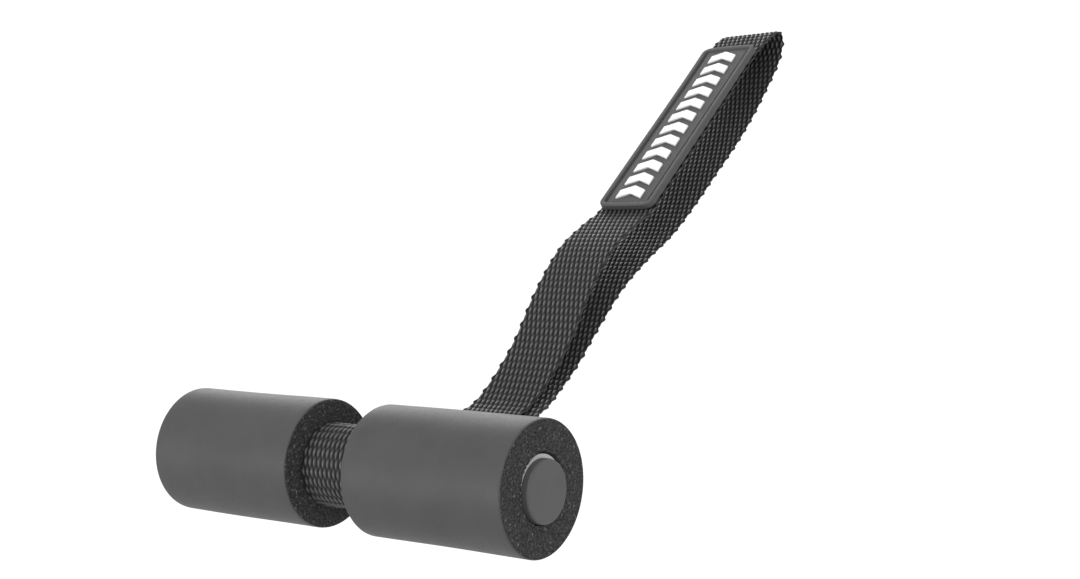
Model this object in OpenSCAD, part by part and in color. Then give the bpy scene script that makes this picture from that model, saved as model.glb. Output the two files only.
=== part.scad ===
// Vehicle anchor strap: a foam-padded bar with a webbing loop sewn round its middle.
// Origin: on the foam sleeves' common axis, half way between the sleeves.
// +X runs along the bar to the right, +Y runs level from the bar to the folded end of the loop, +Z is up.
// At rest the sleeves and the first stretch of the loop lie on a level surface at z = -sleeve_d / 2.

/* [Foam sleeves] */
// Outer diameter of a sleeve
sleeve_d = 45; // [45:0.5:50]
// Length of a sleeve
sleeve_l = 67; // [50:1:90]
// Diameter of the bore, which is loose on the core tube
sleeve_bore_d = 23.4; // [23.2:0.1:28]
// Rounding of a sleeve's outer edges
sleeve_edge_r = 1.2; // [0.4:0.1:3]
// Width of the gap between the two sleeves, which the webbing fills
sleeve_gap = 25.8; // [25.8:0.1:32]

/* [Core tube and end plugs] */
// Outer diameter of the core tube
tube_d = 22.2; // [21.5:0.1:22.3]
// Wall thickness of the core tube
tube_wall = 1.9; // [1.5:0.1:2.2]
// Depth at which the tube's ends lie inside the sleeves
tube_recess = 0.8; // [0:0.1:1.5]
// Diameter of an end plug's flange
plug_flange_d = 21; // [20:0.1:21]
// Thickness of an end plug's flange, which stands out of the sleeve
plug_flange_t = 2.8; // [2:0.1:5]
// Play of a plug in the tube, by which it has dropped
plug_drop = 0.75; // [0:0.05:0.8]
// Direction of the drop, in degrees from straight down towards the front
plug_drop_turn = 22; // [0:1:45]
// Rounding of the flange's rim
plug_rim_r = 0.8; // [0.3:0.1:1.2]
// Length of the ribbed stem inside the tube
plug_stem_l = 14; // [10:1:30]

/* [Webbing] */
// Width of the webbing where it lies free
web_w = 27.8; // [25.2:0.1:30]
// Width of the webbing where the sleeves squeeze it, on the tube
wrap_w = 25.2; // [20:0.1:25.4]
// Thickness of the webbing
web_t = 1.7; // [1.4:0.1:1.7]
// Distance from the tube's axis at which the sewn neck starts
neck_start = 27; // [26:0.5:30]
// Distance from the tube's axis at which the sewn neck ends
neck_end = 58; // [54:1:60]
// Fall of the neck below level, in degrees
neck_fall = 15; // [14:0.5:15.5]

/* [Badge] */
// Length of the badge along the webbing
badge_l = 116; // [90:1:117]
// Width of the badge
badge_w = 27.2; // [22:0.1:28]
// Height of the badge's rim above the webbing
badge_t = 2.8; // [2:0.1:4]
// Radius of the badge's corners
badge_corner_r = 3.5; // [1:0.5:6]
// Number of raised chevrons
chevron_count = 12; // [3:1:12]

/* [Stitching] */
// Thickness of the thread
thread_t = 0.6; // [0.3:0.1:0.8]
// Distance from one stitch to the next
stitch_pitch = 3; // [2.5:0.1:4]

/* [Hidden] */
$fn = 96;
eps = 0.01;

// The loop's stiff neck holds the tube off the loose bores' axis, this far to the front and a little up.
tube_clearance = 0.25;
tube_offset = (sleeve_bore_d - tube_d) / 2 - tube_clearance;
tube_y = -tube_offset * cos(20);
tube_z = tube_offset * sin(20);
bar_l = sleeve_gap + 2 * (sleeve_l - tube_recess);

// Layers of webbing on the tube and in the neck lie this far apart, centre to centre.
layer_pitch = web_t + 0.1;
wrap_clearance = 0.05;
inner_wrap_r = tube_d / 2 + wrap_clearance + web_t / 2;
outer_wrap_r = inner_wrap_r + layer_pitch;
arc_step = 5;
steps_per_span = 5;

// The badge lies on a straight stretch of the front leg: its middle, its slope and half its length.
badge_mid = [247, 35.4];
badge_slope = 17.8;
straight_half = 58.5;
badge_dir = [cos(badge_slope), sin(badge_slope)];
straight_start = badge_mid - straight_half * badge_dir;
straight_end = badge_mid + straight_half * badge_dir;

// Centre line of the loop beyond the neck, as (y, z) points.
front_points = [[76, -19.4], [90, -18], [113, -7.7], [135, 5], [158, 14.4], [179, 17]];
fold_points = [[314, 56], [321.5, 56.7], [325.8, 55], [326, 51.4]];
back_points = [
    [321, 45], [310, 37.6], [293, 28.8], [270, 20.4], [247, 13.8], [225, 7.4], [203, 2.4], [181, 0.2],
    [158, -3.4], [135, -10.6], [113, -18.2], [97, -20.9], [78, -21.35]
];

// ---- Points and paths in the (y, z) plane ----

// A point of the neck, u along it from the tube's axis and v above its centre line.
function neck_point(u, v) = [
    tube_y + u * cos(neck_fall) + v * sin(neck_fall),
    tube_z - u * sin(neck_fall) + v * cos(neck_fall)
];

// One Catmull-Rom span from b to c, without its last point.
function span(a, b, c, d) = [
    for (i = [0 : steps_per_span - 1])
        let (t = i / steps_per_span)
            b + 0.5 * (t * (c - a) + t ^ 2 * (2 * a - 5 * b + 4 * c - d) + t ^ 3 * (3 * b - a - 3 * c + d))
];

// A smooth line through points, which leaves along its first pair and arrives along its last pair.
function smooth(before, points, after) =
    let (all = concat([before], points, [after]), n = len(points))
        [for (i = [1 : n - 1]) each span(all[i - 1], all[i], all[i + 1], all[i + 2]), points[n - 1]];

function slice(path, first, last) = [for (i = [first : last]) path[i]];

function unit(v) = v / norm(v);
function left_of(v) = [-v.y, v.x];
function direction(path, i) = unit(path[min(i + 1, len(path) - 1)] - path[min(i, len(path) - 2)]);

// The path moved sideways by d, with mitred corners.
function moved(path, d) = [
    for (i = [0 : len(path) - 1])
        let (a = left_of(direction(path, max(i - 1, 0))), b = left_of(direction(path, i)), m = unit(a + b))
            path[i] + m * d / (m * a)
];

// A strand that leaves the neck at height v_high, goes round the tube at radius r and comes back at v_low.
function wrap_path(r, start, v_high, v_low, end_high, end_low) =
    let (
        d_high = norm([start, v_high]), d_low = norm([start, v_low]),
        from = atan2(v_high, start) + acos(r / d_high),
        to = 360 + atan2(v_low, start) - acos(r / d_low),
        n = ceil((to - from) / arc_step)
    ) [
        neck_point(end_high, v_high),
        neck_point(start, v_high),
        for (i = [0 : n]) let (a = from + (to - from) * i / n) neck_point(r * cos(a), r * sin(a)),
        neck_point(start, v_low),
        neck_point(end_low, v_low)
    ];

outer_start = neck_start + 0.5;
tail_end = neck_end - 2;
inner_path = wrap_path(inner_wrap_r, neck_start, layer_pitch / 2, -layer_pitch / 2, neck_end, neck_end);
outer_path = wrap_path(outer_wrap_r, outer_start, 1.5 * layer_pitch, -1.5 * layer_pitch, tail_end, neck_end);

front_path = smooth(
    neck_point(neck_end - 12, layer_pitch / 2),
    concat([neck_point(neck_end, layer_pitch / 2)], front_points, [straight_start]),
    straight_start + 12 * badge_dir
);
return_path = smooth(
    straight_end - 8 * badge_dir,
    concat([straight_end], fold_points, back_points, [neck_point(neck_end, -1.5 * layer_pitch)]),
    neck_point(neck_end - 20, -1.5 * layer_pitch)
);

// The whole loop from the neck round the fold and back, with a point inside the neck before it and after it.
loop_path = concat(
    [neck_point(neck_end - 1, layer_pitch / 2)], front_path, return_path,
    [neck_point(neck_end - 1, -1.5 * layer_pitch)]
);

// Where along the loop the flexing stretches and the end fold start and end, counted in points.
front_flex = [for (spans = [3, 6]) 1 + spans * steps_per_span];
end_fold = [for (spans = [1, 5]) 1 + len(front_path) + spans * steps_per_span];
back_flex = [for (spans = [12, 15]) 1 + len(front_path) + spans * steps_per_span];

// ---- Shapes ----

foam_colour = [0.38, 0.39, 0.385];
webbing_colour = [0.16, 0.16, 0.17];

// Puts a shape drawn in the (y, z) plane into that plane, w wide along X about x = 0.
module across(w) {
    translate([-w / 2, 0, 0])
        rotate([90, 0, 90])
            linear_extrude(w)
                children();
}

// Webbing of width w along a path, from its point first to its point last.
module strip(path, first, last, w) {
    over = moved(path, web_t / 2);
    under = moved(path, -web_t / 2);
    color(webbing_colour)
        across(w)
            polygon(concat(slice(over, first, last), [for (i = [last : -1 : first]) under[i]]));
}

// A ring about X from x = 0 to x = l, its outer edges rounded by r.
module padded_ring(d, bore, l, r) {
    rotate([0, 90, 0])
        rotate_extrude()
            difference() {
                union() {
                    translate([0, r])
                        square([d / 2, l - 2 * r]);
                    square([d / 2 - r, l]);
                    for (y = [r, l - r])
                        translate([d / 2 - r, y])
                            circle(r);
                }
                translate([-eps, -eps])
                    square([bore / 2 + eps, l + 2 * eps]);
            }
}

module at_tube() {
    translate([0, tube_y, tube_z])
        children();
}

module core_tube() {
    color([0.82, 0.83, 0.82])
        at_tube()
            rotate([0, 90, 0])
                difference() {
                    cylinder(d = tube_d, h = bar_l, center = true);
                    cylinder(d = tube_d - 2 * tube_wall, h = bar_l + 2, center = true);
                }
}

// The right end plug, whose ribs rest low in the tube's bore; the left one is its mirror image.
module end_plug() {
    flange_r = plug_flange_d / 2;
    rib_r = tube_d / 2 - tube_wall - plug_drop - 0.02;
    rib_gap = plug_stem_l / 4;
    color(foam_colour)
        at_tube()
            rotate([-plug_drop_turn, 0, 0])
                translate([bar_l / 2, 0, -plug_drop])
                    rotate([0, 90, 0])
                        rotate_extrude()
                            difference() {
                                union() {
                                    square([flange_r, plug_flange_t - plug_rim_r]);
                                    square([flange_r - plug_rim_r, plug_flange_t]);
                                    translate([flange_r - plug_rim_r, plug_flange_t - plug_rim_r])
                                        circle(plug_rim_r);
                                    translate([0, -plug_stem_l])
                                        square([rib_r - 0.5, plug_stem_l + eps]);
                                    for (i = [1 : 3])
                                        translate([0, -i * rib_gap])
                                            square([rib_r, 1]);
                                }
                                translate([-eps, -plug_stem_l - eps])
                                    square([rib_r - 2, plug_stem_l]);
                            }
}

module end_plug_right() end_plug();
module end_plug_left() mirror([1, 0, 0]) end_plug();

module foam_sleeve() {
    color(foam_colour)
        translate([sleeve_gap / 2, 0, 0])
            padded_ring(sleeve_d, sleeve_bore_d, sleeve_l, sleeve_edge_r);
}

module foam_sleeve_right() foam_sleeve();
module foam_sleeve_left() mirror([1, 0, 0]) foam_sleeve();

module webbing_inner_wrap() strip(inner_path, 0, len(inner_path) - 1, wrap_w);
module webbing_outer_wrap() strip(outer_path, 0, len(outer_path) - 1, wrap_w);
module webbing_front_leg_root() strip(loop_path, 1, front_flex[0], web_w);
module webbing_front_leg_flex() strip(loop_path, front_flex[0], front_flex[1], web_w);
module webbing_front_leg_tip() strip(loop_path, front_flex[1], end_fold[0], web_w);
module webbing_end_fold() strip(loop_path, end_fold[0], end_fold[1], web_w);
module webbing_back_leg_tip() strip(loop_path, end_fold[1], back_flex[0], web_w);
module webbing_back_leg_flex() strip(loop_path, back_flex[0], back_flex[1], web_w);
module webbing_back_leg_root() strip(loop_path, back_flex[1], len(loop_path) - 2, web_w);

// Stitches from point a to point b of a plane: threads that lie on both faces, h apart, and the ties between.
module seam(a, b, h) {
    n = max(1, round(norm(b - a) / stitch_pitch));
    turn = atan2((b - a).y, (b - a).x);
    for (i = [0 : n - 1])
        translate(concat(a + (b - a) * (i + 0.5) / n, 0))
            rotate([0, 0, turn])
                for (side = [-1, 1])
                    translate([0, 0, side * h / 2])
                        cube([norm(b - a) / n * 0.75, thread_t, thread_t], center = true);
    for (i = [0 : n - 1])
        translate(concat(a + (b - a) * (i + 0.5) / n, 0))
            rotate([0, 0, turn])
                cube([thread_t, thread_t, h], center = true);
}

// A box with a cross in it, sewn through the four layers of the neck.
module neck_stitching() {
    half_w = 9;
    first = neck_start + 4;
    last = neck_end - 5;
    corners = [[-half_w, first], [half_w, first], [half_w, last], [-half_w, last]];
    color([0.1, 0.1, 0.11])
        translate([0, tube_y, tube_z])
            rotate([-neck_fall, 0, 0]) {
                for (i = [0 : 3])
                    seam(corners[i], corners[(i + 1) % 4], 3 * layer_pitch + web_t + thread_t / 2);
                for (i = [0 : 1])
                    seam(
                        corners[i] + unit(corners[i + 2] - corners[i]) * 2,
                        corners[i + 2] - unit(corners[i + 2] - corners[i]) * 2,
                        3 * layer_pitch + web_t + thread_t / 2
                    );
            }
}

// ---- Badge, drawn flat with X across, Y along the webbing and Z out of it ----

rim_w = 2.3;
groove_w = 1;
field_t = badge_t - 0.7;
groove_floor_t = badge_t - 1.4;
motif_t = 0.9;

module at_badge() {
    translate([0, badge_mid.x, badge_mid.y])
        rotate([badge_slope, 0, 0])
            translate([0, 0, web_t / 2 + 0.02])
                children();
}

module rounded_plate(w, l, r, h) {
    linear_extrude(h)
        union() {
            square([w - 2 * r, l], center = true);
            square([w, l - 2 * r], center = true);
            for (x = [-1, 1], y = [-1, 1])
                translate([x * (w / 2 - r), y * (l / 2 - r)])
                    circle(r);
        }
}

module badge_base() {
    inner_w = badge_w - 2 * rim_w;
    inner_l = badge_l - 2 * rim_w;
    inner_r = max(badge_corner_r - rim_w, 0.6);
    field_r = 0.5;
    color([0.33, 0.33, 0.33])
        at_badge() {
            difference() {
                rounded_plate(badge_w, badge_l, badge_corner_r, badge_t);
                translate([0, 0, groove_floor_t])
                    rounded_plate(inner_w, inner_l, inner_r, badge_t);
            }
            rounded_plate(inner_w - 2 * groove_w, inner_l - 2 * groove_w, field_r, field_t);
        }
}

// A row of chevrons that point along the webbing.
module badge_motif() {
    pitch = (badge_l - 2 * (rim_w + groove_w) - 8) / chevron_count;
    stroke = pitch * 0.6;
    half_h = 7.2;
    color("white")
        at_badge()
            for (i = [0 : chevron_count - 1])
                translate([0, (i - (chevron_count - 1) / 2) * pitch - half_h / 4, field_t])
                    linear_extrude(motif_t)
                        polygon([
                            [-half_h, -stroke / 2 - half_h / 4], [0, -stroke / 2 + half_h / 4],
                            [half_h, -stroke / 2 - half_h / 4], [half_h, stroke / 2 - half_h / 4],
                            [0, stroke / 2 + half_h / 4], [-half_h, stroke / 2 - half_h / 4]
                        ]);
}

module badge_stitching() {
    w = badge_w - 2 * rim_w - groove_w;
    l = badge_l - 2 * rim_w - groove_w;
    margin = 1.5;
    color([0.08, 0.08, 0.09])
        at_badge()
            translate([0, 0, groove_floor_t + thread_t / 2 + 0.02]) {
                for (x = [-w / 2, w / 2])
                    thread_row([x, -l / 2 + margin], [x, l / 2 - margin]);
                for (y = [-l / 2, l / 2])
                    thread_row([-w / 2 + margin, y], [w / 2 - margin, y]);
            }
}

// Threads that lie end to end from a to b.
module thread_row(a, b) {
    n = round(norm(b - a) / stitch_pitch);
    for (i = [0 : n - 1])
        translate(concat(a + (b - a) * (i + 0.5) / n, 0))
            rotate([0, 0, atan2((b - a).y, (b - a).x)])
                cube([norm(b - a) / n * 0.75, thread_t, thread_t], center = true);
}

core_tube();
end_plug_left();
end_plug_right();
foam_sleeve_left();
foam_sleeve_right();
webbing_inner_wrap();
webbing_outer_wrap();
neck_stitching();
webbing_front_leg_root();
webbing_back_leg_root();
webbing_front_leg_flex();
webbing_back_leg_flex();
webbing_front_leg_tip();
webbing_end_fold();
webbing_back_leg_tip();
badge_base();
badge_motif();
badge_stitching();
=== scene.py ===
import math

import bmesh
import bpy
import numpy as np
from mathutils import Matrix, Vector, noise


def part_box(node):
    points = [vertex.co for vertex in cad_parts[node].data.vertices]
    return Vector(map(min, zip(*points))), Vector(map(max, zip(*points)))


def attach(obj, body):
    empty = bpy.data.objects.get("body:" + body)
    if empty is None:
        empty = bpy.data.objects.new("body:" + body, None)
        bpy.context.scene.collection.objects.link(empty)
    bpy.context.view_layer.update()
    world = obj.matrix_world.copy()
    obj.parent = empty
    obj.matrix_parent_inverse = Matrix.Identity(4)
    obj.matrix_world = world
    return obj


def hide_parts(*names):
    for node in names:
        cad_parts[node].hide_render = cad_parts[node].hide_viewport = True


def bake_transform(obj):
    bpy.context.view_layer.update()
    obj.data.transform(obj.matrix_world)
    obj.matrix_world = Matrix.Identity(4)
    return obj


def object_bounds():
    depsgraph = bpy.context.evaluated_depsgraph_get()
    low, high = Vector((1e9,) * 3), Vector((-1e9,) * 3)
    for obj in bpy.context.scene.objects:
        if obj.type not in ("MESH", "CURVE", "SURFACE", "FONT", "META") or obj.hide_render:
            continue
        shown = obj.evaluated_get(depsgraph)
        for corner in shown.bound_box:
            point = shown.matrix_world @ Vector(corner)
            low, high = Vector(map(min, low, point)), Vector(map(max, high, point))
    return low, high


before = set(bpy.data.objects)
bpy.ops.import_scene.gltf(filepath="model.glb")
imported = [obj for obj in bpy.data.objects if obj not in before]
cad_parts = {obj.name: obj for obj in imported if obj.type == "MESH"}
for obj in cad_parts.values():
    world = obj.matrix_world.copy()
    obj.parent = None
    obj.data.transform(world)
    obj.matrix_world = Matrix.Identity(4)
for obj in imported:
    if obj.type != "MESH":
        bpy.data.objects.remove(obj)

# Looks of the vehicle anchor strap: a foam-padded bar with a sewn webbing loop and a moulded badge.
# Shapes are in millimetres up to new_mesh(), which makes metres of them, and materials are in metres.
# The frame is the CAD model's.

CAD_BOX = [list(corner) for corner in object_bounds()]
MM = 0.001


def cad_box(node):
    """Lowest and highest corner of a CAD node, in millimetres."""
    low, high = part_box(node)
    return np.array(low) / MM, np.array(high) / MM


# ---- Sizes taken from the frame ----

sleeve_low, sleeve_high = cad_box("foam_sleeve_right")
tube_low, tube_high = cad_box("core_tube")
wrap_low, wrap_high = cad_box("webbing_outer_wrap")
leg_low, leg_high = cad_box("webbing_front_leg_tip")

SLEEVE_R = (sleeve_high[1] - sleeve_low[1]) / 2
SLEEVE_START, SLEEVE_END = sleeve_low[0], sleeve_high[0]
TUBE_R = (tube_high[1] - tube_low[1]) / 2
TUBE_Y, TUBE_Z = (tube_low[1:] + tube_high[1:]) / 2
WRAP_W = wrap_high[0] - wrap_low[0]
WEB_W = leg_high[0] - leg_low[0]
LOOP_REACH = CAD_BOX[1][1] / MM

# ---- The webbing's centre line, as in the CAD source ----

WEB_T = 1.7
LAYER_PITCH = 1.8
WRAP_CLEARANCE = 0.05
WRAP_STEPS = 120

# The neck, whose layers are sewn together. Its lengths run from the tube's axis, and it slopes down.
NECK_START = 27.0
NECK_END = 58.0
NECK_FALL = math.radians(15)
OUTER_START = NECK_START + 0.5
TAIL_END = NECK_END - 2

# The straight stretch under the badge.
BADGE_MID = np.array([247.0, 35.4])
BADGE_SLOPE = math.radians(17.8)
BADGE_DIR = np.array([math.cos(BADGE_SLOPE), math.sin(BADGE_SLOPE)])
STRAIGHT_HALF = 58.5

# The rest of the loop, as (y, z), and how far beyond its two ends each smooth stretch is steered from.
FRONT_POINTS = [(76, -19.4), (90, -18), (113, -7.7), (135, 5), (158, 14.4), (179, 17)]
FOLD_POINTS = [(314, 56), (321.5, 56.7), (325.8, 55), (326, 51.4)]
BACK_POINTS = [
    (321, 45), (310, 37.6), (293, 28.8), (270, 20.4), (247, 13.8), (225, 7.4), (203, 2.4),
    (181, 0.2), (158, -3.4), (135, -10.6), (113, -18.2), (97, -20.9), (78, -21.35),
]
FRONT_STEER = (12, 12)
BACK_STEER = (8, 20)


def neck_point(u, v):
    """A point of the neck, u along it from the tube's axis and v above its centre line, as (y, z)."""
    c, s = math.cos(NECK_FALL), math.sin(NECK_FALL)
    return np.array([TUBE_Y + u * c + v * s, TUBE_Z - u * s + v * c])


def wrap_line(radius, start, layer, low_end, high_end):
    """Round the tube from the low strand to the high one, both layer away from the neck's centre line."""
    distance = math.hypot(start, layer)
    touch = math.atan2(layer, start) + math.acos(radius / distance)
    arc = np.linspace(2 * math.pi - touch, touch, WRAP_STEPS)
    turns = [neck_point(radius * math.cos(a), radius * math.sin(a)) for a in arc]
    return [neck_point(low_end, -layer), neck_point(start, -layer), *turns,
            neck_point(start, layer), neck_point(high_end, layer)]


def smooth_line(points, steps=16):
    """Catmull-Rom line through all the points but the first and the last, which only steer it."""
    line = []
    for a, b, c, d in zip(points, points[1:], points[2:], points[3:]):
        for t in np.arange(steps) / steps:
            line.append(b + 0.5 * (
                t * (c - a) + t ** 2 * (2 * a - 5 * b + 4 * c - d) + t ** 3 * (3 * b - a - 3 * c + d)
            ))
    return [*line, points[-2]]


def webbing_line():
    """The strip's whole centre line: inner wrap, front leg, fold, back leg, outer wrap."""
    inner_r = TUBE_R + WRAP_CLEARANCE + WEB_T / 2
    near, far = LAYER_PITCH / 2, 1.5 * LAYER_PITCH
    first, last = BADGE_MID - STRAIGHT_HALF * BADGE_DIR, BADGE_MID + STRAIGHT_HALF * BADGE_DIR
    front = [neck_point(NECK_END - FRONT_STEER[0], near), neck_point(NECK_END, near)]
    front += [np.array(p, float) for p in FRONT_POINTS] + [first, first + FRONT_STEER[1] * BADGE_DIR]
    back = [last - BACK_STEER[0] * BADGE_DIR, last] + [np.array(p, float) for p in FOLD_POINTS + BACK_POINTS]
    back += [neck_point(NECK_END, -far), neck_point(NECK_END - BACK_STEER[1], -far)]
    inner = wrap_line(inner_r, NECK_START, near, NECK_END, NECK_END)
    outer = wrap_line(inner_r + LAYER_PITCH, OUTER_START, far, NECK_END, TAIL_END)
    line = np.array(inner[:-1] + smooth_line(front) + smooth_line(back) + outer[1:])
    keep = np.concatenate([[True], np.linalg.norm(np.diff(line, axis=0), axis=1) > 1e-6])
    return line[keep]


def along(line, s):
    """Points of a line at the lengths s from its start."""
    run = np.concatenate([[0], np.cumsum(np.linalg.norm(np.diff(line, axis=0), axis=1))])
    return np.stack([np.interp(s, run, line[:, k]) for k in range(2)], axis=1)


def line_length(line):
    return float(np.linalg.norm(np.diff(line, axis=0), axis=1).sum())


# ---- Meshes ----

def new_mesh(name, points_mm, faces, materials, smooth=True, face_materials=None):
    """A mesh object from points in millimetres and faces that are lists of point numbers."""
    mesh = bpy.data.meshes.new(name)
    mesh.from_pydata((np.asarray(points_mm) * MM).tolist(), [], faces)
    for material in materials:
        mesh.materials.append(material)
    if face_materials is not None:
        mesh.polygons.foreach_set("material_index", np.asarray(face_materials, np.int32))
    mesh.polygons.foreach_set("use_smooth", np.full(len(mesh.polygons), smooth))
    mesh.update()
    piece = bpy.data.objects.new(name, mesh)
    bpy.context.scene.collection.objects.link(piece)
    return piece


def ring_faces(rows, columns, closed_rows=False):
    """Quads between rows of points, each row a closed ring of columns points."""
    last = rows if closed_rows else rows - 1
    i, k = np.meshgrid(np.arange(last), np.arange(columns), indexing="ij")
    i2, k2 = (i + 1) % rows, (k + 1) % columns
    quads = np.stack([i * columns + k, i * columns + k2, i2 * columns + k2, i2 * columns + k], axis=-1)
    return quads.reshape(-1, 4).tolist()


def smoothstep(x, low, high):
    t = np.clip((x - low) / (high - low), 0, 1)
    return t * t * (3 - 2 * t)


# ---- Materials ----

def new_material(name, base_color, roughness, specular=0.5):
    """A new material, its node tree and its shader."""
    material = bpy.data.materials.new(name)
    material.use_nodes = True
    tree = material.node_tree
    shader = tree.nodes["Principled BSDF"]
    shader.inputs["Base Color"].default_value = (*base_color, 1)
    shader.inputs["Roughness"].default_value = roughness
    shader.inputs["Specular IOR Level"].default_value = specular
    return material, tree, shader


def add_node(tree, kind, links=None, **values):
    """A node with its properties set; links gives a socket or a value for an input, by name or number."""
    made = tree.nodes.new("ShaderNode" + kind)
    for key, value in values.items():
        setattr(made, key, value)
    for key, value in (links or {}).items():
        if isinstance(value, bpy.types.NodeSocket):
            tree.links.new(value, made.inputs[key])
        else:
            made.inputs[key].default_value = value
    return made


def noise_of(tree, vector, scale, detail=4, rough=0.6):
    links = {"Vector": vector, "Scale": scale, "Detail": detail, "Roughness": rough}
    return add_node(tree, "TexNoise", links).outputs["Fac"]


def object_place(tree):
    return tree.nodes.new("ShaderNodeTexCoord").outputs["Object"]


def ramp(tree, fac, stops):
    """A colour ramp with stops as (place, colour)."""
    made = add_node(tree, "ValToRGB", {"Fac": fac})
    elements = made.color_ramp.elements
    while len(elements) < len(stops):
        elements.new(0.5)
    for element, (place, color) in zip(elements, stops):
        element.position = place
        element.color = (*color, 1)
    return made.outputs["Color"]


def spread_over(tree, fac, low, high, from_low=0.3, from_high=0.7):
    links = {"Value": fac, "From Min": from_low, "From Max": from_high, "To Min": low, "To Max": high}
    return add_node(tree, "MapRange", links).outputs["Result"]


def bump(tree, shader, height, distance, strength=1.0, under=None):
    links = {"Height": height, "Distance": distance, "Strength": strength}
    if under is not None:
        links["Normal"] = under
    made = add_node(tree, "Bump", links)
    tree.links.new(made.outputs["Normal"], shader.inputs["Normal"])
    return made.outputs["Normal"]


def grey(level, tint=(1, 1, 1)):
    return tuple(level * t for t in tint)


FOAM_TINT = (0.985, 1.01, 0.99)


def foam_skin():
    """The sleeves' smooth satin skin, faintly mottled and finely pebbled."""
    material, tree, shader = new_material("foam_skin", grey(0.045, FOAM_TINT), 0.5, 0.15)
    place = object_place(tree)
    broad = noise_of(tree, place, 60, 3)
    fine = noise_of(tree, place, 1500, 3)
    color = ramp(tree, broad, [(0.3, grey(0.043, FOAM_TINT)), (0.7, grey(0.05, FOAM_TINT))])
    tree.links.new(color, shader.inputs["Base Color"])
    tree.links.new(spread_over(tree, fine, 0.44, 0.58), shader.inputs["Roughness"])
    first = bump(tree, shader, fine, 0.00006, 0.5)
    bump(tree, shader, broad, 0.0006, 0.25, first)
    return material


def foam_cut():
    """The sleeves' cut ends: open cells, dark inside and dull."""
    material, tree, shader = new_material("foam_cut", grey(0.06), 0.85, 0.25)
    place = object_place(tree)
    cells = add_node(tree, "TexVoronoi", {"Vector": place, "Scale": 1250, "Randomness": 1.0})
    grain = noise_of(tree, place, 900, 5, 0.7)
    mixed = add_node(tree, "Math", {0: cells.outputs["Distance"], 1: grain}, operation="MULTIPLY")
    stops = [(0.08, grey(0.006)), (0.2, grey(0.022)), (0.4, grey(0.04)), (0.56, grey(0.14))]
    tree.links.new(ramp(tree, mixed.outputs[0], stops), shader.inputs["Base Color"])
    bump(tree, shader, mixed.outputs[0], 0.0004, 0.8)
    return material


def tube_plastic():
    """The core tube: pale plastic with faint drawn lines round it."""
    material, tree, shader = new_material("tube_plastic", grey(0.6), 0.38)
    place = object_place(tree)
    stretched = add_node(tree, "Mapping", {"Vector": place, "Scale": (1.0, 0.08, 0.08)})
    lines = noise_of(tree, stretched.outputs["Vector"], 900, 3)
    blotch = noise_of(tree, place, 90, 3)
    color = ramp(tree, blotch, [(0.3, (0.34, 0.345, 0.34)), (0.7, (0.4, 0.405, 0.395))])
    tree.links.new(color, shader.inputs["Base Color"])
    tree.links.new(spread_over(tree, lines, 0.3, 0.46), shader.inputs["Roughness"])
    bump(tree, shader, lines, 0.00004, 0.4)
    return material


def plug_plastic():
    """The end plugs: satin moulded plastic with a fine spark texture and faint blotches."""
    material, tree, shader = new_material("plug_plastic", grey(0.055, FOAM_TINT), 0.48, 0.3)
    place = object_place(tree)
    fine = noise_of(tree, place, 2200, 3)
    blotch = noise_of(tree, place, 140, 3)
    color = ramp(tree, blotch, [(0.3, grey(0.054, FOAM_TINT)), (0.7, grey(0.061, FOAM_TINT))])
    tree.links.new(color, shader.inputs["Base Color"])
    tree.links.new(spread_over(tree, fine, 0.42, 0.56), shader.inputs["Roughness"])
    bump(tree, shader, fine, 0.00005, 0.5)
    return material


def webbing_yarn():
    """Glossy black yarn with filaments along it. Its colour is painted shade by depth, near black where the
    yarns dive, with a painted sheen that is brightest on the crowns.
    """
    material, tree, shader = new_material("webbing_yarn", grey(0.04), 0.32, 0.4)
    strip = add_node(tree, "Attribute", attribute_name="strip").outputs["Vector"]
    crown = add_node(tree, "Attribute", attribute_name="crown").outputs["Fac"]
    stretched = add_node(tree, "Mapping", {"Vector": strip, "Scale": (0.35, 7.0, 1.0)})
    filaments = noise_of(tree, stretched.outputs["Vector"], 1.0, 3)
    patches = noise_of(tree, strip, 0.35, 3)
    # Painted shade and sheen: the colour darkens with depth between the yarns and is lightest on the crowns;
    # the patches are the yarn's own uneven tone.
    painted_depth_shade = [(0.0, grey(0.001)), (0.35, grey(0.003)), (0.65, grey(0.028)), (1.0, grey(0.085))]
    shade = ramp(tree, patches, [(0.3, grey(0.8)), (0.7, (1.0, 1.0, 1.03))])
    links = {"Factor": 1.0, "A": ramp(tree, crown, painted_depth_shade), "B": shade}
    mixed = add_node(tree, "Mix", links, data_type="RGBA", blend_type="MULTIPLY")
    tree.links.new(mixed.outputs["Result"], shader.inputs["Base Color"])
    dull = spread_over(tree, crown, 0.5, 0.0, 0.3, 0.9)
    roughness = add_node(tree, "Math", {0: spread_over(tree, filaments, 0.25, 0.4), 1: dull}, operation="ADD")
    tree.links.new(roughness.outputs[0], shader.inputs["Roughness"])
    bump(tree, shader, filaments, 0.0002, 0.5)
    return material


def sewing_thread():
    """Black bonded thread with its twist."""
    material, tree, shader = new_material("sewing_thread", grey(0.02), 0.5)
    place = object_place(tree)
    twist = add_node(tree, "TexWave", {"Vector": place, "Scale": 900, "Distortion": 2.0})
    color = ramp(tree, twist.outputs["Fac"], [(0.2, grey(0.01)), (0.8, grey(0.03))])
    tree.links.new(color, shader.inputs["Base Color"])
    bump(tree, shader, twist.outputs["Fac"], 0.00008, 0.6)
    return material


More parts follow.
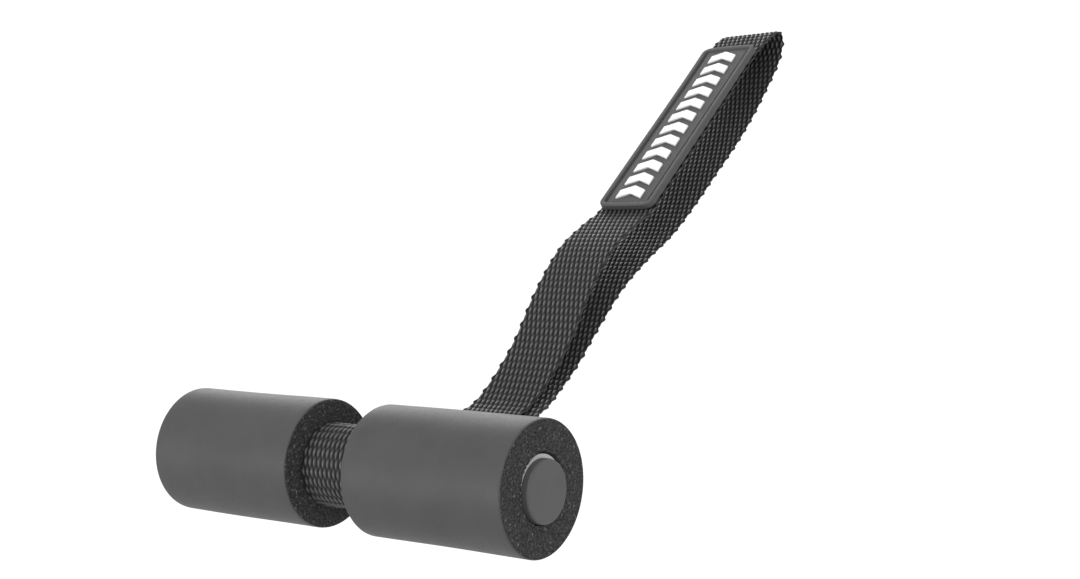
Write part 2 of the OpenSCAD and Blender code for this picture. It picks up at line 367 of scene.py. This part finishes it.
def badge_rubber():
    """The badge's soft dark rubber, matte, with a fine grain and a few paler scuffs."""
    material, tree, shader = new_material("badge_rubber", grey(0.045), 0.6, 0.4)
    place = object_place(tree)
    fine = noise_of(tree, place, 1800, 3)
    scuffs = noise_of(tree, place, 120, 6, 0.7)
    stops = [(0.3, grey(0.04)), (0.62, grey(0.046)), (0.75, grey(0.058))]
    tree.links.new(ramp(tree, scuffs, stops), shader.inputs["Base Color"])
    tree.links.new(spread_over(tree, fine, 0.54, 0.7), shader.inputs["Roughness"])
    bump(tree, shader, fine, 0.00005, 0.5)
    return material


def motif_rubber():
    """The badge's white mouldings."""
    material, tree, shader = new_material("motif_rubber", grey(0.6), 0.5, 0.3)
    place = object_place(tree)
    fine = noise_of(tree, place, 1500, 3)
    soil = noise_of(tree, place, 160, 5, 0.7)
    color = ramp(tree, soil, [(0.25, (0.54, 0.56, 0.55)), (0.6, (0.61, 0.63, 0.62))])
    tree.links.new(color, shader.inputs["Base Color"])
    tree.links.new(spread_over(tree, fine, 0.44, 0.6), shader.inputs["Roughness"])
    bump(tree, shader, fine, 0.00004, 0.4)
    return material


# ---- Webbing ----

# The weave: warp ends across a face, and the length of one pick, in which an end rises or dives once.
ENDS = 24
ROW_PITCH = 3.4

# The mesh's rings for each pick, how far off the line's direction is read, and the length of the inner wrap.
STEPS_PER_ROW = 6
TANGENT_REACH = 0.7
HIDDEN_LENGTH = 120.0

# An end's height over the strip's middle, and that of the creases beside it, which sway.
YARN_HIGH = 0.4
YARN_SWING = 0.48
CREASE_LOW = -0.05
CREASE_RISE = 0.26
CREASE_SWAY = 0.14

# A bead's outline as (share of its width, share of its height), and how far its top leans.
BEAD_OUTLINE = ((0.0, 0.0), (0.27, 0.95), (0.73, 0.95))
OUTER_SLANT = -0.2
INNER_SLANT = 0.1

# The strip's two edges, as (height, distance outwards), with their swellings.
EDGE_HALF_W = WEB_W / 2 - 0.25
EDGE_OUTLINE = ((0.32, 0.18), (0.0, 0.28), (-0.32, 0.18))
EDGE_SWELL = (0.42, 0.28)
# The crown given to the edges, which sets their painted shade and sheen and their roughness.
EDGE_CROWN = 0.6

# The strip's two cut ends, fused flat.
FUSED_FROM = 0.2
FUSED_LENGTH = 1.6
FUSED_HALF_T = 0.55

# Where the strip widens from the wraps' width to the legs', and how far each leg's foot lies to the side.
PINCH_Y = (26, 48)
SPLAY_START_Y = (56, 80)
FRONT_SPLAY, FRONT_SPLAY_Y = -2.8, (76, 118)
BACK_SPLAY, BACK_SPLAY_Y = 2.1, (86, 108)

# How the loop lies: its shifts along x, each between two values of y, and its skewed fold.
LEANS = ((-2.1, 70, 180), (1.1, 180, 290), (1.3, 298, 326))
FOLD_SKEW, FOLD_SKEW_Y = 1.5, (282, 326)


def weave_face(s, side):
    """One face of the weave at the lengths s: x and height of its columns, from one edge to the other.

    Each end rises over one pick and dives under the next, and its neighbours do the opposite.
    """
    turn = math.pi * s / ROW_PITCH + (0 if side > 0 else math.pi)
    end_pitch = 2 * EDGE_HALF_W / ENDS
    crease_x, crease_z = [], []
    for j in range(ENDS + 1):
        phase = turn + math.pi * (j - 1)
        sway = CREASE_SWAY * np.cos(phase) if 0 < j < ENDS else edge_swell(s, -1 if j == 0 else 1)
        crease_x.append(-EDGE_HALF_W + j * end_pitch + sway)
        crease_z.append(CREASE_LOW + CREASE_RISE * np.sin(phase) ** 2)
    xs, zs, ends = [], [], []
    slant = OUTER_SLANT if side > 0 else INNER_SLANT
    for j in range(ENDS):
        phase = turn + math.pi * j
        top = YARN_HIGH + YARN_SWING * np.cos(phase)
        for share, height in BEAD_OUTLINE:
            base_z = crease_z[j] * (1 - share) + crease_z[j + 1] * share
            xs.append(crease_x[j] + (crease_x[j + 1] - crease_x[j]) * share + slant * height * np.sin(phase))
            zs.append(base_z + (top - base_z) * height)
            ends.append(np.full_like(s, j))
    xs.append(crease_x[ENDS])
    zs.append(crease_z[ENDS])
    ends.append(np.full_like(s, ENDS))
    return np.array(xs).T, np.array(zs).T, np.array(ends).T


def edge_swell(s, side):
    """How far the edge stands out: the weft's turns make a large and a small swelling in two rows."""
    phase = math.pi * s / ROW_PITCH + (0 if side > 0 else math.pi)
    return side * (EDGE_SWELL[0] * np.cos(phase) + EDGE_SWELL[1] * np.cos(2 * phase))


def weave_rings(s, length):
    """x, height, crown and warp end of every ring column: over the face, round the edge, back and round.

    Crown is 1 where a yarn is on top of the weave and 0 deep between the yarns; the yarn's colour paints
    shade and sheen by it.
    """
    top_x, top_z, top_end = weave_face(s, 1)
    low_x, low_z, low_end = weave_face(s, -1)
    edges = []
    for side in (1, -1):
        x = side * EDGE_HALF_W + edge_swell(s, side)
        columns = np.stack([x + side * out for _, out in EDGE_OUTLINE], axis=1)
        heights = [side * height for height, _ in EDGE_OUTLINE]
        edges.append((columns, np.tile(heights, (len(s), 1))))
    xs = np.concatenate([top_x, edges[0][0], low_x[:, ::-1], edges[1][0]], axis=1)
    zs = np.concatenate([top_z, edges[0][1], -low_z[:, ::-1], edges[1][1]], axis=1)
    side_end = np.full((len(s), len(EDGE_OUTLINE)), ENDS + 1)
    ends = np.concatenate([top_end, side_end, low_end[:, ::-1], side_end], axis=1)
    crown = np.clip((np.abs(zs) - CREASE_LOW) / (YARN_HIGH + YARN_SWING - CREASE_LOW), 0, 1)
    crown[ends == ENDS + 1] = EDGE_CROWN
    fused = 1 - smoothstep(np.minimum(s, length - s), FUSED_FROM, FUSED_LENGTH)[:, None]
    zs = zs * (1 - fused) + np.sign(zs) * FUSED_HALF_T * fused
    return xs, zs, crown, ends


def webbing_rows(length):
    """Lengths at which the strip has a ring: finer where it shows, coarser on the hidden inner wrap."""
    fine = ROW_PITCH / STEPS_PER_ROW
    first = np.arange(0, HIDDEN_LENGTH, 2 * fine)
    return np.concatenate([first, np.arange(first[-1] + fine, length, fine), [length]])


def add_attribute(mesh, name, kind, values):
    made = mesh.attributes.new(name, kind, "POINT")
    key = "vector" if kind == "FLOAT_VECTOR" else "value"
    made.data.foreach_set(key, np.asarray(values, np.float32).ravel())


def relaxed(points):
    """The loop leans to the left up to the badge and comes part of the way back; its fold is skewed."""
    points = np.array(points, float)
    points[:, 1] += FOLD_SKEW * smoothstep(points[:, 1], *FOLD_SKEW_Y) * points[:, 0] / (WEB_W / 2)
    for shift, low, high in LEANS:
        points[:, 0] += shift * smoothstep(points[:, 1], low, high)
    return points


def make_webbing(material):
    """The whole strip as one closed woven mesh."""
    line = webbing_line()
    length = line_length(line)
    s = webbing_rows(length)
    centre = along(line, s)
    tangent = along(line, s + TANGENT_REACH) - along(line, s - TANGENT_REACH)
    tangent /= np.linalg.norm(tangent, axis=1)[:, None]
    normal = np.stack([-tangent[:, 1], tangent[:, 0]], axis=1)
    xs, zs, crown, ends = weave_rings(s, length)
    y = centre[:, :1]
    xs *= (WRAP_W + (WEB_W - WRAP_W) * smoothstep(y, *PINCH_Y)) / WEB_W
    front_splay = FRONT_SPLAY * (1 - smoothstep(y, *FRONT_SPLAY_Y))
    back_splay = BACK_SPLAY * (1 - smoothstep(y, *BACK_SPLAY_Y))
    xs += smoothstep(y, *SPLAY_START_Y) * np.where(s[:, None] < length / 2, front_splay, back_splay)
    yz = centre[:, None, :] + zs[:, :, None] * normal[:, None, :]
    rows, columns = xs.shape
    points = np.concatenate([xs[:, :, None], yz], axis=2).reshape(-1, 3)
    faces = [quad[::-1] for quad in ring_faces(rows, columns)]
    faces.append(list(range(columns)))
    faces.append(list(range((rows - 1) * columns, rows * columns))[::-1])
    piece = new_mesh("woven_webbing", relaxed(points), faces, [material])
    strip = np.stack([np.repeat(s[:, None], columns, axis=1), xs, ends], axis=2)
    add_attribute(piece.data, "strip", "FLOAT_VECTOR", strip)
    # The crown attribute carries the painted shade and sheen of the yarn's colour.
    add_attribute(piece.data, "crown", "FLOAT", crown)
    return piece, length


# ---- Foam sleeves ----

SLEEVE_BORE_R = 11.7
SLEEVE_EDGE_R = 0.9
SLEEVE_SEGMENTS = 340
SKIN_RINGS = 18
CUT_RINGS = 30
BORE_RINGS = 6
EDGE_RINGS = 6

# How far round the rounded edge the skin ends and the cut begins, in radians.
CUT_FROM_ANGLE = 1.2

# The cut cells: their size and depth, how steep their walls are, and where their pattern starts along x.
CELL_SIZE = 0.95
CELL_DEPTH = 0.32
CELL_WALL_SLOPE = 2.2
CELL_START = 50

# How far the skin is out of round: oval, and three-sided with a slow twist in radians per millimetre.
OVAL = 0.12
THREE_SIDED = 0.08
THREE_SIDED_TWIST = 0.09


def rounded_edge(x_start, towards, angles):
    """Part of the sleeve's outline: its rounded edge, from the skin at angle 0 to the cut end."""
    edge = SLEEVE_EDGE_R
    return [
        (x_start + towards * edge * math.sin(a), SLEEVE_R - edge + edge * math.cos(a),
         "skin" if a < CUT_FROM_ANGLE else "cut")
        for a in angles
    ]


def sleeve_profile():
    """The sleeve's closed outline as (x, radius, kind), with x from its end next to the gap."""
    r, edge, bore = SLEEVE_R, SLEEVE_EDGE_R, SLEEVE_BORE_R
    length = SLEEVE_END - SLEEVE_START
    angles = np.linspace(0, math.pi / 2, EDGE_RINGS)
    outline = [(x, r, "skin") for x in np.linspace(edge, length - edge, SKIN_RINGS)]
    outline += rounded_edge(length - edge, 1, angles[1:])
    outline += [(length, radius, "cut") for radius in np.linspace(r - edge, bore, CUT_RINGS)[1:]]
    outline += [(x, bore, "bore") for x in np.linspace(length, 0, BORE_RINGS)[1:-1]]
    outline += [(0, radius, "cut") for radius in np.linspace(bore, r - edge, CUT_RINGS)]
    outline += rounded_edge(edge, -1, angles[-2:0:-1])
    return outline


def cell_pit(x, y, z):
    """Depth of the cut cell at a place: deep in the middle of a cell, none on its wall."""
    near = noise.voronoi(Vector((x, y, z)) / CELL_SIZE)[0]
    return CELL_DEPTH * min(1.0, max(0.0, (near[1] - near[0]) * CELL_WALL_SLOPE))


def make_sleeve(name, side, skin, cut):
    """A sleeve with a slightly uneven skin and pitted ends, on the bar's right side (1) or left side (-1)."""
    outline = sleeve_profile()
    turns = np.linspace(0, 2 * math.pi, SLEEVE_SEGMENTS, endpoint=False)
    length = SLEEVE_END - SLEEVE_START
    points = []
    for x0, r0, kind in outline:
        inward = 1 if x0 < length / 2 else -1
        for a in turns:
            x, r = x0, r0
            twisted = 3 * a + THREE_SIDED_TWIST * x0 + 2 * side
            wobble = OVAL * math.sin(2 * a + side) + THREE_SIDED * math.sin(twisted)
            if kind == "cut":
                x += inward * cell_pit(side * (x0 + CELL_START), r0 * math.cos(a), r0 * math.sin(a))
            if kind != "bore":
                r += wobble * (r0 - SLEEVE_BORE_R) / (SLEEVE_R - SLEEVE_BORE_R)
            points.append((side * (SLEEVE_START + x), r * math.cos(a), r * math.sin(a)))
    faces = ring_faces(len(outline), SLEEVE_SEGMENTS, closed_rows=True)
    if side < 0:
        faces = [quad[::-1] for quad in faces]
    kinds = [0 if kind == "skin" else 1 for _, _, kind in outline]
    slots = np.repeat(np.maximum(kinds, np.roll(kinds, -1)), SLEEVE_SEGMENTS)
    return new_mesh(name, points, faces, [skin, cut], face_materials=slots)


# ---- Threads ----

THREAD_R = 0.3
THREAD_SIDES = 8
STITCH_RINGS = 9
STITCH_PITCH = 3.0

# The share of the pitch left free at each end of a stitch, how deep its ends dip, and how much they taper.
STITCH_GAP = 0.06
STITCH_DIP = 1.5 * THREAD_R
STITCH_TAPER = 0.35


def stitch_tube(start, end, up):
    """The points, ring by ring, of one visible stitch: a short tube whose ends dip into the ground."""
    start, end, up = (np.asarray(v, float) for v in (start, end, up))
    ahead = (end - start) / np.linalg.norm(end - start)
    across = np.cross(ahead, up)
    rings = []
    for t in np.linspace(-1, 1, STITCH_RINGS):
        centre = (start + end) / 2 + (end - start) / 2 * t - up * STITCH_DIP * t ** 4
        radius = THREAD_R * (1 - STITCH_TAPER * t ** 6)
        for a in np.linspace(0, 2 * math.pi, THREAD_SIDES, endpoint=False):
            rings.append(centre + radius * (math.cos(a) * across + math.sin(a) * up))
    return rings


def make_threads(name, stitches, place, material):
    """All the stitches of a seam as one piece; each stitch is (start, end, up) in the seam's frame."""
    points, faces = [], []
    for start, end, up in stitches:
        rings = stitch_tube(start, end, up)
        first = len(points)
        points += rings
        quads = ring_faces(len(rings) // THREAD_SIDES, THREAD_SIDES)
        faces += [[first + k for k in quad] for quad in quads]
        faces.append([first + k for k in range(THREAD_SIDES)][::-1])
        faces.append([first + len(rings) - THREAD_SIDES + k for k in range(THREAD_SIDES)])
    return new_mesh(name, place(points), faces, [material])


def stitch_row(a, b, height, up):
    """Stitches that lie end to end from a to b, points of a plane, at a height over it."""
    a, b = np.array(a, float), np.array(b, float)
    count = max(1, round(np.linalg.norm(b - a) / STITCH_PITCH))
    made = []
    for i in range(count):
        first = a + (b - a) * (i + STITCH_GAP) / count
        last = a + (b - a) * (i + 1 - STITCH_GAP) / count
        made.append(((*first, height), (*last, height), (0, 0, up)))
    return made


def neck_place(points):
    """From the neck's frame (across, along, above) to the CAD model's frame."""
    return [(x, *neck_point(u, v)) for x, u, v in points]


SEAM_HALF_W = 9.0
SEAM_FIRST = NECK_START + 4
SEAM_LAST = NECK_END - 5
SEAM_HEIGHT = 1.5 * LAYER_PITCH + WEB_T / 2


def make_neck_threads(material):
    """A box with a cross in it, on both faces of the sewn neck."""
    corners = [(-SEAM_HALF_W, SEAM_FIRST), (SEAM_HALF_W, SEAM_FIRST),
               (SEAM_HALF_W, SEAM_LAST), (-SEAM_HALF_W, SEAM_LAST)]
    lines = [(corners[i], corners[(i + 1) % 4]) for i in range(4)]
    lines += [(corners[0], corners[2]), (corners[1], corners[3])]
    stitches = []
    for up in (1, -1):
        for a, b in lines:
            stitches += stitch_row(a, b, up * SEAM_HEIGHT, up)
    return make_threads("neck_threads", stitches, neck_place, material)


# ---- Badge ----

BADGE_L = 117.4
BADGE_SHIFT = 1.4
BADGE_W = 27.2
BADGE_T = 2.8
RIM_W = 2.3
GROOVE_W = 1.0
FIELD_T = BADGE_T - 0.7
GROOVE_T = BADGE_T - 1.4

# The gap that keeps a piece clear of what it lies on.
LAY_GAP = 0.02

# Its rounded outline, and the slight bow of its two ends over the last stretch of its length.
CORNER_R = 3.5
LEAST_CORNER_R = 0.45
CORNER_POINTS = 9
END_STEPS = 12
SIDE_STEPS = 48
END_BOW = 0.6
BOW_LENGTH = 12

# The chevrons: their stroke is a share of their pitch, and the row keeps clear of the groove.
CHEVRONS = 12
CHEVRON_HALF_W = 6.4
CHEVRON_RISE = CHEVRON_HALF_W / 4
CHEVRON_STROKE = 0.6
CHEVRON_T = 0.9
CHEVRON_SUNK = 0.05
CHEVRON_BEVEL = 0.4
ROW_MARGIN = 0.8


def badge_place(points):
    """From the badge's frame (across, along, out) to the CAD model's frame."""
    x, run, out = np.array(points, float).T
    run = run + BADGE_SHIFT
    rise = WEB_T / 2 + LAY_GAP + out
    y = BADGE_MID[0] + run * BADGE_DIR[0] - rise * BADGE_DIR[1]
    z = BADGE_MID[1] + run * BADGE_DIR[1] + rise * BADGE_DIR[0]
    return relaxed(np.stack([x, y, z], axis=1))


def rounded_loop(inset):
    """The badge's outline moved inwards: the same number of points for every inset."""
    half_w, half_l = BADGE_W / 2 - inset, BADGE_L / 2 - inset
    r = max(CORNER_R - inset, LEAST_CORNER_R)
    loop = []
    corners = [(1, 1, 0), (-1, 1, 90), (-1, -1, 180), (1, -1, 270)]
    for number, (sx, sy, first) in enumerate(corners):
        cx, cy = sx * (half_w - r), sy * (half_l - r)
        for a in np.radians(np.linspace(first, first + 90, CORNER_POINTS)):
            loop.append((cx + r * math.cos(a), cy + r * math.sin(a)))
        nx, ny, _ = corners[(number + 1) % 4]
        start = loop[-1]
        turn = math.radians(first + 90)
        end = (nx * (half_w - r) + r * math.cos(turn), ny * (half_l - r) + r * math.sin(turn))
        steps = END_STEPS if number % 2 == 0 else SIDE_STEPS
        for t in np.arange(1, steps) / steps:
            loop.append((start[0] + (end[0] - start[0]) * t, start[1] + (end[1] - start[1]) * t))
    return np.array(loop)


def bowed(loop):
    """The loop with its two ends bowed slightly outwards."""
    near_end = smoothstep(np.abs(loop[:, 1]), BADGE_L / 2 - BOW_LENGTH, BADGE_L / 2)
    crown = 1 - (loop[:, 0] / (BADGE_W / 2)) ** 2
    loop[:, 1] += np.sign(loop[:, 1]) * END_BOW * near_end * crown
    return loop


def make_badge_body(material):
    """The moulded badge: rounded rim, groove for the stitching and a flat field."""
    groove_in = RIM_W + GROOVE_W
    profile = [
        (0.25, 0), (0.05, 0.12), (0, 0.4), (0, BADGE_T - 0.7), (0.08, BADGE_T - 0.35),
        (0.28, BADGE_T - 0.1), (0.6, BADGE_T), (RIM_W - 0.5, BADGE_T), (RIM_W - 0.2, BADGE_T - 0.08),
        (RIM_W - 0.04, BADGE_T - 0.3), (RIM_W + 0.04, GROOVE_T + 0.2), (RIM_W + 0.2, GROOVE_T),
        (groove_in - 0.2, GROOVE_T), (groove_in - 0.05, GROOVE_T + 0.15), (groove_in, FIELD_T - 0.2),
        (groove_in + 0.12, FIELD_T - 0.05), (groove_in + 0.35, FIELD_T), (groove_in + 3.5, FIELD_T),
        (groove_in + 6.5, FIELD_T),
    ]
    points = []
    for inset, height in profile:
        points += [(x, y, height) for x, y in bowed(rounded_loop(inset))]
    columns = len(points) // len(profile)
    faces = ring_faces(len(profile), columns)
    faces.append(list(range(columns))[::-1])
    faces.append(list(range(len(points) - columns, len(points))))
    return new_mesh("badge_body", badge_place(points), faces, [material])


def chevron_outline(middle, stroke):
    """One chevron, pointing along the badge, as (across, along)."""
    w, low, high = CHEVRON_HALF_W, middle - stroke / 2, middle + stroke / 2
    return [(-w, low - CHEVRON_RISE), (0, low + CHEVRON_RISE), (w, low - CHEVRON_RISE),
            (w, high - CHEVRON_RISE), (0, high + CHEVRON_RISE), (-w, high - CHEVRON_RISE)]


def make_chevrons(material):
    """A row of raised chevrons with softly rounded edges."""
    pitch = (BADGE_L - 2 * (RIM_W + GROOVE_W + ROW_MARGIN)) / CHEVRONS
    shape = bmesh.new()
    for i in range(CHEVRONS):
        outline = chevron_outline((i - (CHEVRONS - 1) / 2) * pitch, CHEVRON_STROKE * pitch)
        low = [shape.verts.new((x, y, FIELD_T - CHEVRON_SUNK)) for x, y in outline]
        high = [shape.verts.new((x, y, FIELD_T + CHEVRON_T)) for x, y in outline]
        shape.faces.new(low[::-1])
        shape.faces.new(high)
        for k in range(len(outline)):
            n = (k + 1) % len(outline)
            shape.faces.new((low[k], low[n], high[n], high[k]))
    edges = [e for e in shape.edges if max(v.co.z for v in e.verts) > FIELD_T]
    bmesh.ops.bevel(shape, geom=edges, offset=CHEVRON_BEVEL, segments=4, profile=0.5, affect="EDGES")
    points = badge_place([tuple(v.co) for v in shape.verts])
    faces = [[v.index for v in f.verts] for f in shape.faces]
    shape.free()
    return new_mesh("badge_chevrons", points, faces, [material])


def make_badge_threads(material):
    """The thread in the badge's groove."""
    w, l = BADGE_W - 2 * RIM_W - GROOVE_W, BADGE_L - 2 * RIM_W - GROOVE_W
    height = GROOVE_T + THREAD_R + LAY_GAP
    margin = 1.5
    stitches = []
    for x in (-w / 2, w / 2):
        stitches += stitch_row((x, margin - l / 2), (x, l / 2 - margin), height, 1)
    for y in (-l / 2, l / 2):
        stitches += stitch_row((margin - w / 2, y), (w / 2 - margin, y), height, 1)
    return make_threads("badge_threads", stitches, badge_place, material)


# ---- Stage ----

FLOOR_GLOW = 0.92
FLOOR_ROOM = 25
FLOOR_Z = -LOOP_REACH - FLOOR_ROOM
FLOOR_HALF = 12000
WORLD_STRENGTH = 1.0

# Each sun's name, the direction towards it, its spread in degrees and its strength.
SUNS = (
    ("back", (-0.5, 0.85, 0.22), 45, 1.5),
    ("overhead", (-0.1, -0.3, 0.95), 60, 1.1),
    ("front", (-0.45, -0.85, 0.3), 18, 1.5),
    ("right", (0.8, -0.35, 0.45), 50, 0.9),
)


def make_floor():
    """White glowing paper, so far down that the loop can swing all the way round above it."""
    material, tree, shader = new_material("floor_paper", grey(0.1), 0.8, 0.05)
    fine = noise_of(tree, object_place(tree), 40, 3)
    color = ramp(tree, fine, [(0.3, grey(0.095)), (0.7, grey(0.105))])
    tree.links.new(color, shader.inputs["Base Color"])
    shader.inputs["Emission Color"].default_value = (1, 1, 1, 1)
    shader.inputs["Emission Strength"].default_value = FLOOR_GLOW
    corners = [(x * FLOOR_HALF, y * FLOOR_HALF, FLOOR_Z) for x, y in ((-1, -1), (1, -1), (1, 1), (-1, 1))]
    floor = new_mesh("floor", corners, [[0, 1, 2, 3]], [material], smooth=False)


def make_world():
    """An even white studio all round."""
    world = bpy.data.worlds.new("studio")
    bpy.context.scene.world = world
    world.use_nodes = True
    background = world.node_tree.nodes["Background"]
    background.inputs["Color"].default_value = (1, 1, 1, 1)
    background.inputs["Strength"].default_value = WORLD_STRENGTH


def soft_sun(name, towards_light, spread, strength):
    """A sun that is spread degrees wide, as even as a large soft box far away."""
    data = bpy.data.lights.new(name, "SUN")
    data.angle = math.radians(spread)
    data.energy = strength
    light = bpy.data.objects.new(name, data)
    bpy.context.scene.collection.objects.link(light)
    light.rotation_euler = Vector(towards_light).to_track_quat("Z", "Y").to_euler()


CAMERA_AZIMUTH = math.radians(39.345)
CAMERA_ELEVATION = math.radians(19.89)
CAMERA_ROLL = math.radians(-14.13)
CAMERA_TARGET = Vector((25.0, 89.5, 27.5)) * MM
CAMERA_DISTANCE = 0.585
CAMERA_LENS = 52.46
CAMERA_SENSOR_W = 36
CAMERA_SIGHT = 100


def make_camera():
    """The camera, looking at a point of the loop, with its own slight roll."""
    ca, sa = math.cos(CAMERA_AZIMUTH), math.sin(CAMERA_AZIMUTH)
    ce, se = math.cos(CAMERA_ELEVATION), math.sin(CAMERA_ELEVATION)
    back = Vector((sa * ce, -ca * ce, se))
    level_right, level_up = Vector((ca, sa, 0)), Vector((-sa * se, ca * se, ce))
    right = level_right * math.cos(CAMERA_ROLL) + level_up * math.sin(CAMERA_ROLL)
    up = back.cross(right)
    data = bpy.data.cameras.new("camera")
    data.lens = CAMERA_LENS
    data.sensor_width = CAMERA_SENSOR_W
    data.clip_end = CAMERA_SIGHT
    camera = bpy.data.objects.new("camera", data)
    bpy.context.scene.collection.objects.link(camera)
    turn = Matrix((right, up, back)).transposed().to_4x4()
    camera.matrix_world = Matrix.Translation(CAMERA_TARGET + back * CAMERA_DISTANCE) @ turn
    bpy.context.scene.camera = camera


make_camera()
make_floor()
make_world()
for sun in SUNS:
    soft_sun(*sun)
bpy.context.scene.view_settings.view_transform = "Standard"

# ---- The pieces and what they ride on ----

thread = sewing_thread()
skin, cut = foam_skin(), foam_cut()
for end, side in (("right", 1), ("left", -1)):
    sleeve = make_sleeve(end + "_sleeve_foam", side, skin, cut)
    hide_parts("foam_sleeve_" + end)
    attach(sleeve, end + "_sleeve")

plug = plug_plastic()
for node, material in (("core_tube", tube_plastic()), ("end_plug_left", plug), ("end_plug_right", plug)):
    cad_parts[node].data.materials.clear()
    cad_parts[node].data.materials.append(material)

neck_threads = make_neck_threads(thread)
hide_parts("neck_stitching")
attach(neck_threads, "loop_root")

rubber = badge_rubber()
badge_body = make_badge_body(rubber)
badge_chevrons = make_chevrons(motif_rubber())
badge_threads = make_badge_threads(thread)
badge_pieces = (
    (badge_body, "badge_base", "badge_rubber"),
    (badge_chevrons, "badge_motif", "motif_rubber"),
    (badge_threads, "badge_stitching", "thread"),
)
for piece, node, slot in badge_pieces:
    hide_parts(node)
    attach(piece, "loop_tip")

webbing, webbing_length = make_webbing(webbing_yarn())
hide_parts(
    "webbing_inner_wrap", "webbing_outer_wrap", "webbing_front_leg_root",
    "webbing_back_leg_root", "webbing_front_leg_flex", "webbing_back_leg_flex",
    "webbing_front_leg_tip", "webbing_end_fold", "webbing_back_leg_tip",
)
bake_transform(webbing)
